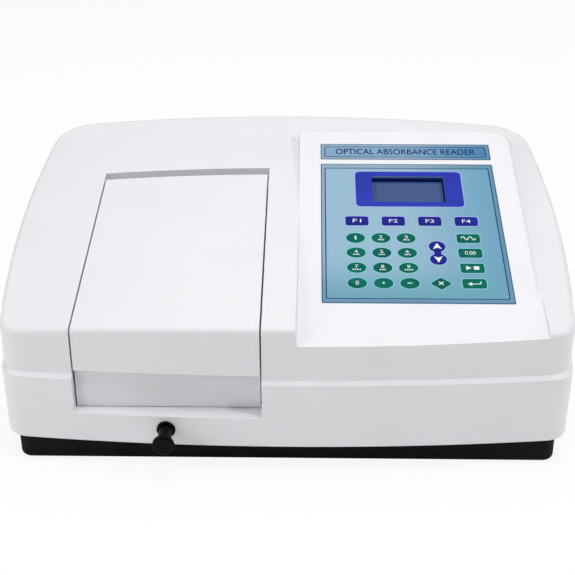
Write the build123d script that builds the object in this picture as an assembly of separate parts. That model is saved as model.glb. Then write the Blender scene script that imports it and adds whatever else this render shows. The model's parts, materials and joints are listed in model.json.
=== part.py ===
from build123d import *
import math
import os

os.makedirs("parts", exist_ok=True)

# Bench-top spectrophotometer. Millimetres, +Z up, +X to the user's right, +Y to the rear.
# The origin is the bottom centre of the whole instrument, so the feet stand on Z = 0.

# ---- Cover ----
width = 470.0              # widest part of the cover
widest_y = 18.0            # where along Y the bowed sides are widest
front_y = -151.0           # upper front face on the centre line
rear_y = 177.0
side_bow = 1124.0          # plan radius of the sides
front_bow = 1913.0         # plan radius of the front face
crown_radius = 2255.0      # radius of the crowned top, across X
top_slope = 8.44           # degrees, top surface rising to the rear
fold_z = 128.6             # top surface height at the front, on the centre line
wall = 3.0
cover_bottom = 24.9
ledge_low, ledge_high = 80.6, 83.8     # bevelled styling step round the cover
ledge_side, ledge_front = 2.0, 3.0     # how far the lower part stands out at that step
skirt_side, skirt_front = -0.5, 2.4    # further spread between the step and the lower edge
corner_front, corner_rear = 20.0, 35.0
fold_radius = 4.5
opening_edge = 0.6         # rounding of the lid opening's and the notch's edges
bottom_edge = 1.0
beyond = 400.0             # more than the whole depth, for cutting

# ---- Console: one flat plane, sunk in the front of the cover and proud of it at the rear ----
console_slope = 13.31      # degrees
console_z = 114.34         # height of the plane at front_y
console_left, console_right = 8.5, 202.0
console_rear = 130.0
console_draft = 6.0        # degrees
console_corner = 20.0      # plan radius of its rear right corner
console_edge = 4.0         # rounding of its rear and right edges

# ---- Keypad: x across, s up the console plane from front_y ----
label_left, label_right = 27.5, 180.8
keypad_low, keypad_high = 49.6, 234.2
title_low, title_high = 241.2, 264.8
overlay_proud = 0.3
overlay_depth = 0.9
key_gap = 0.25
key_travel = 0.5
key_low, key_high = -0.3, 0.6          # key faces, from the console plane
column_x, column_step = 56.2, 21.14
row_s, row_step = 73.3, 18.92
number_key = (7.6, 6.1)                # half axes
function_x, function_step, function_s = 57.9, 30.9, 152.7
function_key = (19.2, 11.8)
command_x = 150.3
command_key = (19.0, 11.0)
arrow_x, arrow_radius = 123.5, 6.7
up_s, down_s = 119.4, 103.2
escape_key = (8.5, 6.9)
window_x, window_s = (72.5, 135.7), (179.2, 215.5)
display_depth = 3.4

# ---- Sample compartment ----
lid_left, lid_right = -165.9, -20.1
lid_rear = 69.8
lid_low = 86.8
lid_gap = 1.2
lid_rim = 9.0              # depth of the lid's side and rear rims
lid_edge = 0.8
recess_rear = 80.2
frame_wall = 2.5
frame_low = 108.0
notch_floor = 50.9
inner_front = -139.7       # white panel seen through the finger notch
panel_gap = 1.3            # round its sides and lower edge
pivot_y, pivot_z = 65.8, 148.5
pin_radius = 2.0
lug_radius = 4.5
chamber_x = (-160.0, -26.0)
chamber_y = (-133.0, 62.0)
chamber_z = (20.0, 114.0)
chamber_wall = 3.0
flange = 2.0

# ---- Cell changer ----
rod_x, rod_z, rod_radius = -94.5, 39.2, 3.0
beam_y, beam_z = -57.0, 58.0
cell_count, cell_pitch, cell_size = 4, 20.0, 12.7
cell_floor, holder_top = 44.0, 72.0
rail_z, rail_radius, rail_offset = 31.0, 3.0, 26.0
running = 0.05             # radial clearance of a running fit
bush_radius, flange_radius = 5.0, 7.35
bush_seat = -152.8         # spot face in the cover that the bush flange sits on
knob_front, knob_radius, neck_radius = -177.0, 8.6, 5.3

# ---- Base ----
foot_height = 1.5
base_x = 216.5
base_front, base_rear = -141.0, 168.0
base_wall, base_floor = 2.5, 3.0
base_top = 32.0
rim_low, rim_gap = 29.5, 0.5           # the tray's rim, which closes the cover from below
vent_x, vent_size, vent_count, vent_pitch = 170.0, (36.0, 3.0), 10, 8.0
screw_radius, head_radius, boss_radius = 2.0, 4.0, 8.0
foot_radius, plug_radius = 11.0, 4.0
foot_places = [(x, y) for x in (-180, 180) for y in (-112, 140)]
screw_places = [(x, y) for x in (-204, 204) for y in (-102, 120)]

# ---- Optics and rear panel ----
mono_x, mono_y, mono_z = (-24.0, 150.0), (-90.0, 125.0), (24.0, 104.0)
mono_wall = 6.0
entrance_y = 95.0
grating_x, grating_y = 25.0, 20.0
gear_module, wheel_teeth, pinion_teeth, gear_width = 1.0, 80, 16, 4.0
grating_shaft, motor_shaft, filter_shaft = 4.0, 2.5, 1.5     # radii
lamp_x, lamp_y, lamp_z = (-140.0, -60.0), (86.0, 150.0), (24.0, 98.0)
filter_y, filter_radius = 109.0, 22.0
panel_x, panel_z = 185.0, (28.0, 102.0)
inlet_x, inlet_z = -160.0, 62.0
switch_x = -118.0
fan_x, fan_z, fan_size, fan_depth = -52.0, 65.0, 60.0, 15.0
fan_opening, fan_pin = 28.0, 1.5                             # radii
serial_x, printer_x = 70.0, 130.0
serial_half, printer_half = 9.0, 19.0


def block(x0, x1, y0, y1, z0, z1):
    """Box from its six limits."""
    return Pos((x0 + x1) / 2, (y0 + y1) / 2, (z0 + z1) / 2) * Box(x1 - x0, y1 - y0, z1 - z0)


def rod(radius, start, end):
    """Round bar between two points."""
    along = Vector(*end) - Vector(*start)
    bar = Cylinder(radius, along.length, align=(Align.CENTER, Align.CENTER, Align.MIN))
    return Plane(origin=start, z_dir=along) * bar


def group(solids):
    """Separate solids that share one node."""
    return Compound(children=[solid for shape in solids for solid in shape.solids()])


def write(name, shape):
    """Save one node."""
    shape.label = name
    export_step(shape, f"parts/{name}.step")


# ---- Cover surfaces ----

def outline(z, side_in, front_out, inset=0.0):
    """Plan of the cover at one height: bowed front and sides, straight rear, round corners."""
    plan = Pos(0, front_y + front_bow) * Circle(front_bow + front_out - inset)
    for side in (-1, 1):
        centre = side * (width / 2 - side_bow)
        plan = plan & Pos(centre, widest_y) * Circle(side_bow - side_in - inset)
    plan = plan & Pos(0, rear_y - inset - beyond / 2) * Rectangle(1.5 * beyond, beyond)
    plan = fillet(plan.vertices().sort_by(Axis.Y)[2:], corner_rear - inset)
    plan = fillet(plan.vertices().sort_by(Axis.Y)[:2], corner_front - inset)
    return Pos(0, 0, z) * plan


def under_crown(inset=0.0):
    """Everything below the crowned, sloping top surface."""
    slope = math.radians(top_slope)
    lead = 80
    plane = Plane(
        origin=(0, front_y - lead * math.cos(slope), fold_z - lead * math.sin(slope)),
        x_dir=(1, 0, 0),
        z_dir=(0, math.cos(slope), math.sin(slope)),
    )
    disc = Pos(0, crown_radius) * Circle(crown_radius - inset)
    return extrude(plane * (disc & Pos(0, 150) * Rectangle(1.5 * beyond, 320)), 1.25 * beyond)


def upper_body(inset=0.0):
    """Upper part of the cover, above the styling step."""
    low = ledge_low - 5 if inset else ledge_high
    return extrude(outline(low, ledge_side, 0.0, inset), 130) & under_crown(inset)


def lower_body(inset=0.0):
    """Lower part of the cover, flaring slightly to its bottom edge."""
    low = cover_bottom - 10 if inset else cover_bottom
    lower_edge = outline(low, -skirt_side, ledge_front + skirt_front, inset)
    step_edge = outline(ledge_low, 0.0, ledge_front, inset)
    step_top = outline(ledge_high, ledge_side, 0.0, inset)
    skirt = loft([lower_edge.face(), step_edge.face()], ruled=True)
    return skirt + loft([step_edge.face(), step_top.face()], ruled=True)


console_plane = Plane(
    origin=(0, front_y, console_z),
    x_dir=(1, 0, 0),
    z_dir=(0, -math.sin(math.radians(console_slope)), math.cos(math.radians(console_slope))),
)
console_length = (console_rear - front_y) / math.cos(math.radians(console_slope))


def console_wedge(inset, depth):
    """Drafted block under (depth < 0) or over (depth > 0) the console plane."""
    grow = abs(depth) * math.tan(math.radians(console_draft))
    side = inset if depth < 0 else -inset

    def section(offset, spread):
        left, right = console_left + side - spread, console_right - side + spread
        low, high = -40.0, console_length - side + spread
        shape = Pos((left + right) / 2, (low + high) / 2) * Rectangle(right - left, high - low)
        corner = shape.vertices().sort_by(lambda v: v.X + v.Y)[-1]
        shape = fillet(corner, console_corner - side + spread)
        return console_plane.offset(offset) * shape

    start, end = section(-inset, 0.0), section(depth - inset, grow)
    return loft([start.face(), end.face()], ruled=True)


def console_fill(inset=0.0):
    """The solid console, its front following the cover's bowed front face."""
    wedge = console_wedge(inset, -60)
    if not inset:
        rim = wedge.faces().filter_by(lambda f: abs(console_plane.to_local_coords(f.center()).Z) < 1e-3)
        rounded = rim[0].edges().filter_by(
            lambda e: console_plane.to_local_coords(e.center()).X > console_left + 1
            and console_plane.to_local_coords(e.center()).Y > 1
        )
        wedge = fillet(rounded, console_edge)
    return wedge & extrude(outline(ledge_low, ledge_side, 0.0, inset), 130)


def cover_body(inset=0.0):
    """Outer or inner form of the whole cover."""
    upper = upper_body(inset)
    if not inset:
        folds = upper.edges().filter_by(lambda e: e.center().Z > ledge_high + 20)
        upper = fillet(folds.filter_by(lambda e: abs(e.tangent_at(0.5).Z) < 0.5), fold_radius)
    return upper - console_wedge(inset, 60) + console_fill(inset) + lower_body(inset)


outer = cover_body()
opening_x = (lid_left - lid_gap, lid_right + lid_gap)


def is_at(value, *places):
    """Whether a coordinate is at one of the given places."""
    return any(abs(value - place) < 0.001 for place in places)


def outside_edges(shape, wanted):
    """The wanted edges of a shape, chosen by their centres, that lie on the cover's outside."""
    skin = outer.faces()

    def on_skin(point):
        return min(face.distance_to(Vertex(*point)) for face in skin) < 0.002

    return [edge for edge in shape.edges().filter_by(lambda e: wanted(e.center()))
            if on_skin(edge.position_at(0.5)) and on_skin(edge.position_at(0.1))]


def on_console(shape, low, high):
    """Plate between two offsets from the console plane, from a sketch in its own x and s."""
    return extrude(console_plane.offset(low) * shape, high - low)


def console_rectangle(x, s, radius, grow=0.0):
    """Rounded rectangle in console coordinates."""
    size = (x[1] - x[0] + 2 * grow, s[1] - s[0] + 2 * grow)
    return Pos(sum(x) / 2, sum(s) / 2) * RectangleRounded(*size, radius)


def top_cover():
    """White moulded cover: shell, lid frame, finger notch, console recesses and openings."""
    frame_x = (opening_x[0] - frame_wall, opening_x[1] + frame_wall)
    upper_frame = block(*frame_x, front_y, recess_rear + frame_wall, frame_low, 200)
    notch = block(*frame_x, front_y - 9, inner_front + 5, notch_floor - wall, 200)
    cover = outer - cover_body(wall) + ((upper_frame + notch) & outer)
    for side in (-1, 1):
        x = frame_x[0] if side < 0 else frame_x[1]
        cover += rod(lug_radius, (x, pivot_y, pivot_z), (x + side * 3, pivot_y, pivot_z))
    for x, y in screw_places:
        side = math.copysign(1, x)
        tab = block(*sorted((x - side * 8, x + side * 29)), y - 9, y + 9, base_top, base_top + 10)
        cover += tab & outer
    cover -= block(*opening_x, front_y - 30, recess_rear, notch_floor, 230)
    cover -= rod(pin_radius, (-190, pivot_y, pivot_z), (0, pivot_y, pivot_z))
    recess = console_rectangle((label_left, label_right), (keypad_low, keypad_high), 1.6, 0.1)
    cover -= on_console(recess, -overlay_depth, 5)
    cover -= on_console(console_rectangle(window_x, window_s, 1.0, 2.0), -12, 5)
    title = console_rectangle((label_left, label_right), (title_low, title_high), 1.2, 0.1)
    cover -= on_console(title, -0.4, 5)
    cover -= rod(bush_radius, (rod_x, front_y - 20, rod_z), (rod_x, front_y + 20, rod_z))
    cover -= rod(flange_radius + 0.1, (rod_x, front_y - 20, rod_z), (rod_x, bush_seat, rod_z))
    cover -= block(-panel_x + 7, panel_x - 7, rear_y - 10, rear_y + 5, panel_z[0] + 5, panel_z[1] - 5)
    for x, y in screw_places:
        cover -= rod(screw_radius, (x, y, base_top - 1), (x, y, base_top + 8))

    def round_opening(place):
        notch_side = is_at(place.X, *opening_x) and place.Z < ledge_low
        right_side = is_at(place.X, opening_x[1]) and place.Z > ledge_high
        return notch_side or right_side or is_at(place.Y, recess_rear) or is_at(place.Z, notch_floor)

    cover = fillet(outside_edges(cover, round_opening), opening_edge)
    return fillet(outside_edges(cover, lambda place: is_at(place.Z, cover_bottom)), bottom_edge)


# ---- Lid ----

def lid_space(side_inset, rear_inset, low):
    """Space in plan that the lid, or something inside its rims, takes up."""
    return block(
        lid_left + side_inset, lid_right - side_inset, front_y - 20, lid_rear - rear_inset, low, 230
    )


def sample_lid():
    """White lid: crowned top, bowed front that hangs over the notch, shallow rims, pivot lugs."""
    shell = outer & lid_space(0, 0, lid_low)
    shell -= upper_body(wall) & lid_space(wall, wall, lid_low - 5)
    inside_front = extrude(outline(lid_low - 5, ledge_side, 0.0, wall), 150)
    shell -= inside_front & under_crown(lid_rim) & lid_space(-2, -2, lid_low - 5)
    for x in (lid_left, lid_right - wall):
        lug = rod(lug_radius, (x, pivot_y, pivot_z), (x + wall, pivot_y, pivot_z))
        lug += block(x, x + wall, pivot_y - lug_radius, lid_rear, pivot_z, pivot_z + 20)
        shell += lug & upper_body(1.0)
        shell -= rod(pin_radius + running, (x - 1, pivot_y, pivot_z), (x + wall + 1, pivot_y, pivot_z))

    def round_lid(place):
        return is_at(place.X, lid_left, lid_right) or is_at(place.Y, lid_rear) or is_at(place.Z, lid_low)

    return fillet(outside_edges(shell, round_lid), lid_edge)


def lid_liner():
    """Black foam sheet stuck under the lid top to keep stray light out."""
    sheet = upper_body(wall) - under_crown(wall + 2)
    return sheet & lid_space(wall + 4, wall + 8, lid_low) & block(-400, 400, -140, 200, 0, 300)


def hinge_pins():
    """Two steel pins fixed in the lid frame; the lid turns on their inner ends."""
    left = opening_x[0] - frame_wall - 3, lid_left + wall + 0.5
    right = lid_right - wall - 0.5, opening_x[1] + frame_wall + 3
    return group(
        rod(pin_radius, (start, pivot_y, pivot_z), (end, pivot_y, pivot_z)) for start, end in (left, right)
    )


write("top_cover", top_cover())
write("sample_lid", sample_lid())
write("lid_liner", lid_liner())
write("hinge_pins", hinge_pins())


# ---- Sample compartment ----

rails = [rod_x - rail_offset, rod_x + rail_offset]
cell_centres = [beam_y + i * cell_pitch for i in range(cell_count)]
holder_y = (beam_y - 12.0, cell_centres[-1] + 12.0)
chamber_in_y = (chamber_y[0] + chamber_wall, chamber_y[1] - chamber_wall)
window_radius, port_radius = 9.0, 6.0


def front_panel():
    """White inner wall behind the finger notch, carried by the chamber's flange."""
    return block(
        opening_x[0] + panel_gap, opening_x[1] - panel_gap,
        inner_front, inner_front + wall, notch_floor + panel_gap / 2, chamber_z[1],
    )


def sample_chamber():
    """Black box round the cells, with a flange that closes the lid frame and two light ports."""
    box = block(*chamber_x, *chamber_y, *chamber_z)
    top = chamber_z[1]
    box += block(
        opening_x[0] + 0.5, opening_x[1] - 0.5, inner_front + wall, recess_rear - 0.5, top - flange, top
    )
    box -= block(
        chamber_x[0] + chamber_wall, chamber_x[1] - chamber_wall, *chamber_in_y,
        chamber_z[0] + chamber_wall, top + 10,
    )
    box -= rod(port_radius, (chamber_x[0] - 5, beam_y, beam_z), (chamber_x[1] + 5, beam_y, beam_z))
    for wall_x, inward in ((chamber_x[0], 1), (chamber_x[1], -1)):
        seat = (wall_x, beam_y, beam_z), (wall_x + inward * 1.5, beam_y, beam_z)
        box -= rod(window_radius, *seat)
    return box - rod(rod_radius + 0.3, (rod_x, -150, rod_z), (rod_x, -120, rod_z))


def chamber_seal():
    """Black foam light seal on the chamber flange."""
    low, high = chamber_z[1], chamber_z[1] + 3
    x, y = (chamber_x[0] - 1, chamber_x[1] + 1), (chamber_y[0] - 1, chamber_y[1] - 4)
    return block(*x, *y, low, high) - block(x[0] + 5, x[1] - 5, y[0] + 5, y[1] - 5, low - 1, high + 1)


def carriage_rails():
    """Two polished guide rods running front to rear in the chamber."""
    return group(
        rod(rail_radius, (x, chamber_in_y[0], rail_z), (x, chamber_in_y[1], rail_z)) for x in rails
    )


def cell_carriage():
    """Four-place cell holder on its guide plate."""
    body = block(rod_x - 36, rod_x + 36, *holder_y, rail_z - 5, rail_z + 5)
    body += block(rod_x - 15, rod_x + 15, *holder_y, rail_z + 5, holder_top)
    for x in rails:
        body -= rod(rail_radius + running, (x, -100, rail_z), (x, 100, rail_z))
    half = cell_size / 2
    for y in cell_centres:
        body -= block(rod_x - half, rod_x + half, y - half, y + half, cell_floor, holder_top + 1)
        body -= rod(4, (rod_x - 20, y, beam_z), (rod_x + 20, y, beam_z))
    return body - rod(rod_radius, (rod_x, holder_y[0] - 1, rod_z), (rod_x, holder_y[0] + 5, rod_z))


def pull_rod():
    """Steel rod from the carriage out through the front of the cover."""
    return rod(rod_radius, (rod_x, knob_front + 5, rod_z), (rod_x, holder_y[0] + 5, rod_z))


def pull_knob():
    """Black mushroom knob, turned about the rod."""
    profile = Polyline(
        (0, 0), (knob_radius - 1.6, 0), (knob_radius - 0.4, 0.5), (knob_radius, 1.6),
        (knob_radius, 3.6), (knob_radius - 1.2, 5.0), (neck_radius + 0.5, 7.5), (neck_radius, 9.0),
        (neck_radius, 20.0), (0, 20.0), close=True,
    )
    turned = revolve(Plane.XZ * make_face(profile), Axis.Z)
    knob = Plane(origin=(rod_x, knob_front, rod_z), z_dir=(0, 1, 0)) * turned
    return knob - rod(rod_radius, (rod_x, knob_front + 5, rod_z), (rod_x, knob_front + 25, rod_z))


def rod_bush():
    """Flanged black bush that guides the rod through the cover."""
    bush = rod(flange_radius, (rod_x, bush_seat - 2.6, rod_z), (rod_x, bush_seat, rod_z))
    bush = fillet(bush.edges().filter_by(GeomType.CIRCLE).sort_by(Axis.Y)[:1], 0.8)
    bush += rod(bush_radius, (rod_x, bush_seat, rod_z), (rod_x, bush_seat + 10, rod_z))
    return bush - rod(rod_radius + running, (rod_x, -170, rod_z), (rod_x, -130, rod_z))


write("front_panel", front_panel())
write("sample_chamber", sample_chamber())
write("chamber_seal", chamber_seal())
write("carriage_rails", carriage_rails())
write("cell_carriage", cell_carriage())
write("pull_rod", pull_rod())
write("pull_knob", pull_knob())
write("rod_bush", rod_bush())


# ---- Keypad ----

def key_places():
    """Every key's name, outline kind and centre in console coordinates."""
    rows = (("key_0", "key_point", "key_minus"), ("key_7", "key_8", "key_9"),
            ("key_4", "key_5", "key_6"), ("key_1", "key_2", "key_3"))
    places = []
    for j, row in enumerate(rows):
        for i, name in enumerate(row):
            places.append((name, "number", column_x + i * column_step, row_s + j * row_step))
        places.append((f"command_key_{j + 1}", "command", command_x, row_s + j * row_step))
    for i in range(4):
        places.append((f"function_key_{i + 1}", "function", function_x + i * function_step, function_s))
    places.append(("up_key", "arrow", arrow_x, up_s))
    places.append(("down_key", "arrow", arrow_x, down_s))
    places.append(("escape_key", "escape", arrow_x, row_s))
    return places


def key_outline(kind, grow=0.0):
    """Outline of one kind of key, grown for its hole in the overlay."""
    if kind == "number":
        return Sketch() + Ellipse(number_key[0] + grow, number_key[1] + grow)
    if kind == "arrow":
        return Sketch() + Circle(arrow_radius + grow)
    if kind == "escape":
        a, b = escape_key[0] + 1.25 * grow, escape_key[1] + 1.25 * grow
        diamond = Polyline((a, 0), (0, b), (-a, 0), (0, -b), close=True)
        shape = make_face(diamond)
        return fillet(shape.vertices(), 1.2)
    size = function_key if kind == "function" else command_key
    return Sketch() + RectangleRounded(size[0] + 2 * grow, size[1] + 2 * grow, 2.0 + grow)


def key(kind, x, s):
    """One key face, its upper edge softened."""
    body = on_console(Pos(x, s) * key_outline(kind), key_low, key_high)
    top = body.faces().sort_by(lambda f: console_plane.to_local_coords(f.center()).Z)[-1]
    return fillet(top.edges(), 0.25)


def membrane_overlay():
    """Printed keypad sheet with a hole for every key and the display window."""
    sheet = console_rectangle((label_left, label_right), (keypad_low, keypad_high), 1.5)
    sheet -= console_rectangle(window_x, window_s, 0.5)
    for name, kind, x, s in key_places():
        sheet -= Pos(x, s) * key_outline(kind, key_gap)
    return on_console(sheet, -overlay_depth, overlay_proud)


def display_module():
    """Graphic display: glass in a metal frame on its circuit board, seen down the window."""
    x, s = sum(window_x) / 2, sum(window_s) / 2
    glass = on_console(Pos(x, s) * Rectangle(78, 51), -display_depth - 6, -display_depth)
    board = on_console(Pos(x, s) * Rectangle(93, 70), -display_depth - 8, -display_depth - 6)
    return glass + board


def title_label():
    """Printed strip above the keypad."""
    strip = console_rectangle((label_left, label_right), (title_low, title_high), 1.2)
    return on_console(strip, -0.4, overlay_proud)


write("membrane_overlay", membrane_overlay())
write("display_module", display_module())
write("title_label", title_label())
for name, kind, x, s in key_places():
    write(name, key(kind, x, s))


# ---- Base and feet ----

panel_y = rear_y - wall


def base_tray():
    """Black tray that everything stands in, with a rim inside the cover and two rows of air slots."""
    tray = block(-base_x, base_x, base_front, base_rear, foot_height, base_top)
    tray = fillet(tray.edges().filter_by(Axis.Z), 10)
    tray = fillet(tray.edges().group_by(Axis.Z)[0], 3.5)
    cavity = block(
        -base_x + base_wall, base_x - base_wall, base_front + base_wall, base_rear - base_wall,
        foot_height + base_floor, base_top + 5,
    )
    rim = block(-beyond, beyond, -beyond, panel_y - 2, rim_low, base_top)
    tray += lower_body(wall + rim_gap) & rim
    tray -= fillet(cavity.edges().filter_by(Axis.Z), 8)
    for x in (-vent_x, vent_x):
        for i in range(vent_count):
            y = (i - (vent_count - 1) / 2) * vent_pitch
            tray -= Pos(x, y, foot_height) * Box(*vent_size, 3 * base_floor)
    for x, y in screw_places:
        tray += rod(boss_radius, (x, y, foot_height), (x, y, base_top))
        tray -= rod(head_radius + 0.5, (x, y, 0), (x, y, foot_height + 5))
        tray -= rod(screw_radius + 0.3, (x, y, 0), (x, y, base_top + 1))
    for x, y in foot_places:
        tray -= rod(plug_radius, (x, y, 0), (x, y, foot_height + base_floor + 1))
    return tray


def rubber_feet():
    """Four rubber feet, each plugged into the tray floor."""
    feet = []
    for x, y in foot_places:
        pad = rod(foot_radius, (x, y, 0), (x, y, foot_height))
        pad = fillet(pad.edges().sort_by(Axis.Z)[:1], 1)
        feet.append(pad + rod(plug_radius, (x, y, foot_height), (x, y, foot_height + base_floor)))
    return group(feet)


def cover_screws():
    """Four screws from under the tray into the cover's tabs."""
    return group(
        rod(head_radius, (x, y, foot_height + 1.5), (x, y, foot_height + 5))
        + rod(screw_radius, (x, y, foot_height + 5), (x, y, base_top + 8))
        for x, y in screw_places
    )


write("base_tray", base_tray())
write("rubber_feet", rubber_feet())
write("cover_screws", cover_screws())


# ---- Optics ----

def gear(teeth, centre, low, turn):
    """Straight-cut gear with slim teeth; turn is the angle of one tooth, in pitches."""
    pitch_radius = gear_module * teeth / 2
    step = 2 * math.pi / teeth
    points = []
    for i in range(teeth):
        for radius, share in ((-1.2, -0.26), (0.9, -0.11), (0.9, 0.11), (-1.2, 0.26)):
            angle = (i + turn + share) * step
            r = pitch_radius + radius * gear_module
            points.append((r * math.cos(angle), r * math.sin(angle)))
    return Pos(*centre, low) * extrude(make_face(Polyline(*points, close=True)), gear_width)


pinion_x = grating_x + gear_module * (wheel_teeth + pinion_teeth) / 2
mono_floor = mono_z[0] + mono_wall
gear_z = mono_z[1] - 9


def monochromator_case():
    """Cast box for the grating and mirrors, and the flat plate that closes it."""
    box = block(*mono_x, *mono_y, *mono_z)
    box -= block(
        mono_x[0] + mono_wall, mono_x[1] - mono_wall, mono_y[0] + mono_wall, mono_y[1] - mono_wall,
        mono_floor, mono_z[1] + 5,
    )
    for y in (beam_y, entrance_y):
        box -= rod(4, (mono_x[0] - 1, y, beam_z), (mono_x[0] + mono_wall + 1, y, beam_z))
    for x in (mono_x[0] + 15, mono_x[1] - 15):
        for y in (mono_y[0] + 15, mono_y[1] - 15):
            box += rod(7, (x, y, foot_height + base_floor), (x, y, mono_z[0]))
    bearing = (grating_x, grating_y, mono_z[0] - 1), (grating_x, grating_y, mono_floor + 1)
    box -= rod(grating_shaft + running, *bearing)
    plate = block(*mono_x, *mono_y, mono_z[1], mono_z[1] + 3)
    plate -= rod(11, (pinion_x, grating_y, mono_z[1] - 1), (pinion_x, grating_y, mono_z[1] + 4))
    return group([box, plate])


def optics():
    """Chamber windows, slit plates and the two curved mirrors, all on the light path."""
    made = [rod(window_radius, (x, beam_y, beam_z), (x + d, beam_y, beam_z))
            for x, d in ((chamber_x[0], 1.5), (chamber_x[1], -1.5))]
    x = mono_x[0] - 2
    for y in (beam_y, entrance_y):
        slot = block(x - 1, x + 3, y - 0.5, y + 0.5, beam_z - 4, beam_z + 4)
        made.append(rod(9, (x, y, beam_z), (x + 2, y, beam_z)) - slot)
    end = mono_x[1] - mono_wall
    for y in (beam_y + 5, entrance_y - 5):
        mirror = rod(20, (end - 18, y, beam_z), (end - 8, y, beam_z))
        mirror -= Pos(end - 18 - 296, y, beam_z) * Rot(0, 0, 90) * Sphere(298)
        made.append(mirror + block(end - 8, end, y - 14, y + 14, mono_floor, beam_z + 14))
    return group(made)


def grating_mount():
    """Turntable on its bearing shaft, the ruled grating, and the drive wheel on the shaft's top."""
    at = (grating_x, grating_y)
    body = rod(grating_shaft, (*at, mono_z[0]), (*at, gear_z + gear_width))
    body += rod(16, (*at, mono_floor + 1), (*at, mono_floor + 5))
    body += block(at[0] - 3, at[0] + 4, at[1] - 18, at[1] + 18, mono_floor + 5, beam_z + 20)
    ruled = block(at[0] + 4, at[0] + 10, at[1] - 15, at[1] + 15, beam_z - 15, beam_z + 15)
    wheel = gear(wheel_teeth, at, gear_z, 0.0)
    wheel -= rod(grating_shaft, (*at, gear_z - 1), (*at, gear_z + gear_width + 1))
    return group([body, ruled, wheel])


def scan_pinion():
    """Pinion on the scan motor's shaft."""
    at = (pinion_x, grating_y)
    shaft = rod(motor_shaft, (*at, gear_z + gear_width), (*at, mono_z[1] + 10))
    return gear(pinion_teeth, at, gear_z, 0.5) + shaft


def detector():
    """Black box on the chamber's left wall, and the photodiode on its amplifier board inside."""
    wall_x = chamber_x[0]
    box = block(wall_x - 50, wall_x, beam_y - 30, beam_y + 30, chamber_z[0] + 6, beam_z + 36)
    box -= block(wall_x - 46, wall_x - 4, beam_y - 26, beam_y + 26, chamber_z[0] + 10, beam_z + 32)
    box -= rod(port_radius, (wall_x - 5, beam_y, beam_z), (wall_x + 1, beam_y, beam_z))
    board = block(wall_x - 46, wall_x - 44, beam_y - 22, beam_y + 22, beam_z - 22, beam_z + 22)
    return group([box, board + rod(7, (wall_x - 44, beam_y, beam_z), (wall_x - 38, beam_y, beam_z))])


# ---- Lamps and filters ----

lamp_wall = 2.0
filter_x = -36.0


def lamp_housing():
    """Sheet-metal lamp box with the light port towards the filters."""
    box = block(*lamp_x, *lamp_y, *lamp_z)
    box -= block(
        lamp_x[0] + lamp_wall, lamp_x[1] - lamp_wall, lamp_y[0] + lamp_wall, lamp_y[1] - lamp_wall,
        lamp_z[0] + lamp_wall, lamp_z[1] + 5,
    )
    box -= rod(7, (lamp_x[1] - 5, entrance_y, beam_z), (lamp_x[1] + 1, entrance_y, beam_z))
    for x in (lamp_x[0] + 10, lamp_x[1] - 10):
        for y in (lamp_y[0] + 10, lamp_y[1] - 10):
            box += rod(5, (x, y, foot_height + base_floor), (x, y, lamp_z[0]))
    return box


lamp_floor = lamp_z[0] + lamp_wall


def lamps():
    """Halogen capsule in its socket, and the deuterium bulb on its base ring."""
    at = (lamp_x[0] + 16, entrance_y)
    halogen = rod(7, (*at, lamp_floor), (*at, beam_z - 14))
    halogen += rod(5, (*at, beam_z - 14), (*at, beam_z + 10))
    at = (lamp_x[0] + 45, lamp_y[1] - 18)
    deuterium = rod(15, (*at, lamp_floor), (*at, lamp_floor + 8))
    deuterium += rod(13, (*at, lamp_floor + 8), (*at, beam_z + 26))
    return group([halogen, deuterium])


def source_mirror():
    """Flip mirror that picks one of the two lamps, on its own shaft."""
    at = (lamp_x[0] + 45, entrance_y)
    shaft = rod(motor_shaft, (*at, lamp_floor + 12), (*at, beam_z + 14))
    plate = Pos(*at, beam_z) * Rot(0, 0, -45) * Pos(0, 3, 0) * Box(17, 1.5, 22)
    arm = Pos(*at, beam_z) * Rot(0, 0, -45) * Pos(0, 1.5, 0) * Box(5, 2, 22)
    return shaft + arm + plate


def filter_wheel():
    """Order-sorting filter wheel with its shaft."""
    wheel = rod(filter_radius, (filter_x - 1.5, filter_y, beam_z), (filter_x + 1.5, filter_y, beam_z))
    for i in range(6):
        angle = math.radians(60 * i)
        y, z = filter_y - 14 * math.cos(angle), beam_z + 14 * math.sin(angle)
        wheel -= rod(5, (filter_x - 2, y, z), (filter_x + 2, y, z))
    return wheel + rod(filter_shaft, (filter_x - 16, filter_y, beam_z), (filter_x - 1.5, filter_y, beam_z))


def drive_motors():
    """Motors of the wavelength scan, the source mirror and the filter wheel."""
    at, low = (pinion_x, grating_y), mono_z[1] + 3
    scan = block(at[0] - 21, at[0] + 21, at[1] - 21, at[1] + 21, low, low + 28)
    scan = fillet(scan.edges().filter_by(Axis.Z), 4) + rod(11, (*at, low - 2), (*at, low))
    scan -= rod(motor_shaft + running, (*at, low - 3), (*at, mono_z[1] + 10.5))
    at = (lamp_x[0] + 45, entrance_y)
    flip = rod(6.5, (*at, lamp_floor), (*at, lamp_floor + 20))
    flip -= rod(motor_shaft + running, (*at, lamp_floor + 11.5), (*at, lamp_floor + 21))
    index = rod(8, (lamp_x[1], filter_y + 1, beam_z), (filter_x - 6, filter_y + 1, beam_z))
    index -= rod(filter_shaft + running, (filter_x - 16.5, filter_y, beam_z), (0, filter_y, beam_z))
    return group([scan, flip, index])


# ---- Rear panel ----

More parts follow.
